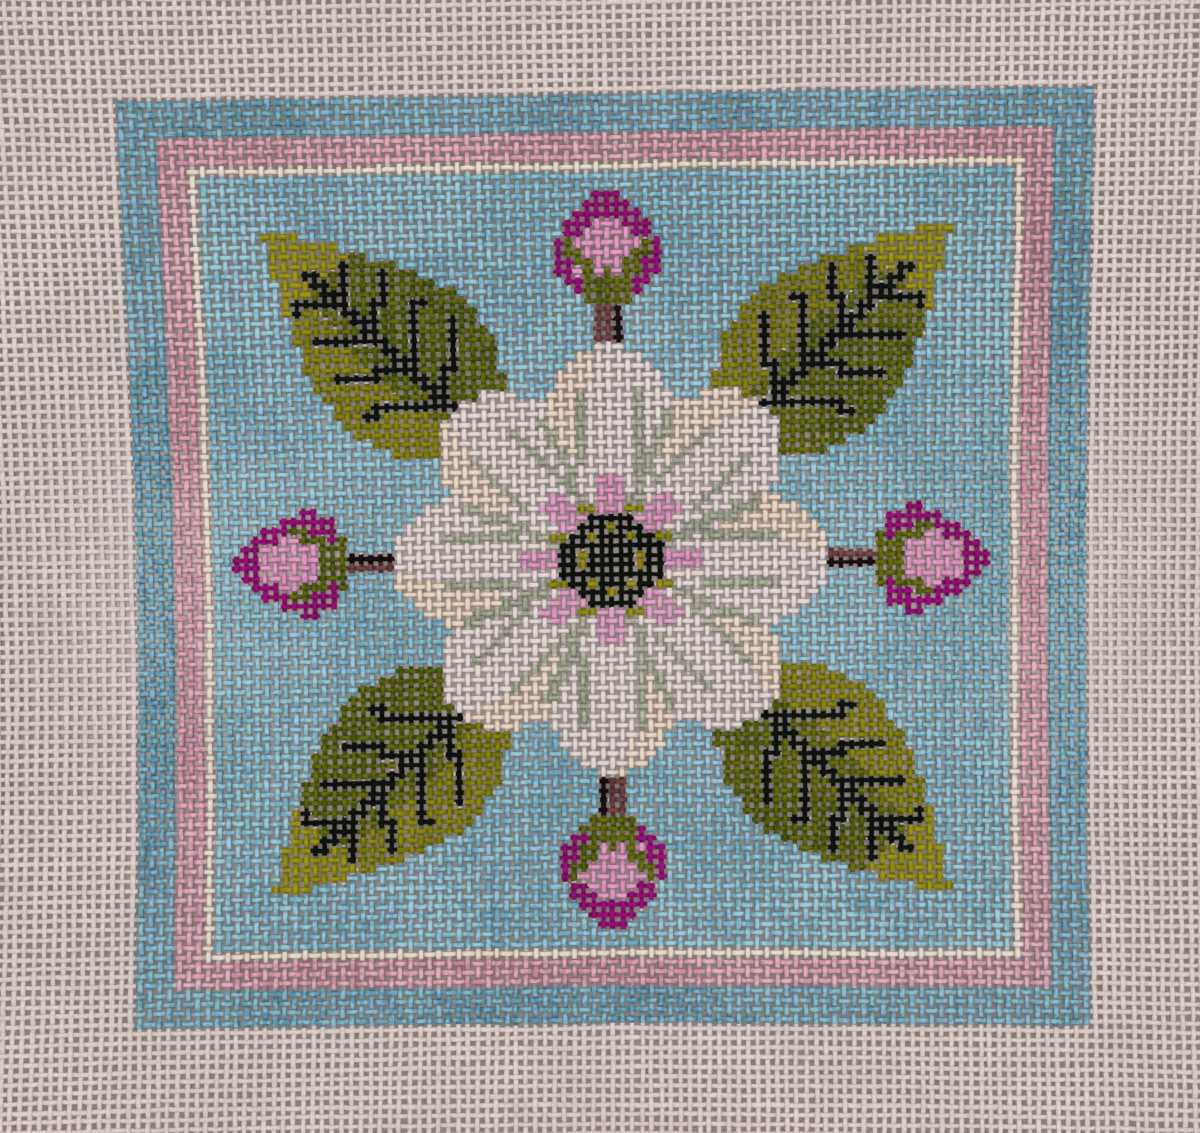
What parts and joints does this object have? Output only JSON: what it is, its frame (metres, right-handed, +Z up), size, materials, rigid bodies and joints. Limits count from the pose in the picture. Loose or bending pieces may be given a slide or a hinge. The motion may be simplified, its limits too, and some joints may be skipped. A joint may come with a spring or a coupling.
{
  "type": "needlepoint canvas",
  "caption": "Square cotton needlepoint canvas with taped edges, painted with a banded border and a flower medallion to stitch over.",
  "frame": {"origin": "centre of the canvas, on the surface that it lies on", "axes": "+X along the weft threads to the design's right, +Y along the warp threads to the design's top, +Z up out of the painted face"},
  "size_m": [0.2962, 0.2942, 0.0018],
  "materials": {
    "cotton": "matt sized cotton thread",
    "blue_paint": "matt acrylic on cotton",
    "sky_paint": "matt acrylic on cotton",
    "pink_paint": "matt acrylic on cotton",
    "cream_paint": "matt acrylic on cotton",
    "petal_paint": "matt acrylic on cotton",
    "heart_paint": "matt acrylic on cotton",
    "leaf_paint": "matt acrylic on cotton",
    "bud_paint": "matt acrylic on cotton",
    "stalk_paint": "matt acrylic on cotton",
    "tape": "matt cloth tape"
  },
  "bodies": {
    "root": {"weft_threads": "cotton", "warp_threads": "cotton", "blue_band": "blue_paint", "pink_band": "pink_paint", "cream_line": "cream_paint", "sky_ground": "sky_paint", "flower_petals": "petal_paint", "flower_heart": "heart_paint", "leaf_1": "leaf_paint", "leaf_2": "leaf_paint", "leaf_3": "leaf_paint", "leaf_4": "leaf_paint", "bud_1": "bud_paint", "bud_2": "bud_paint", "bud_3": "bud_paint", "bud_4": "bud_paint", "stalk_1": "stalk_paint", "stalk_2": "stalk_paint", "stalk_3": "stalk_paint", "stalk_4": "stalk_paint", "tape_top": "tape", "tape_bottom": "tape", "tape_left": "tape", "tape_right": "tape"}
  },
  "joints": []
}
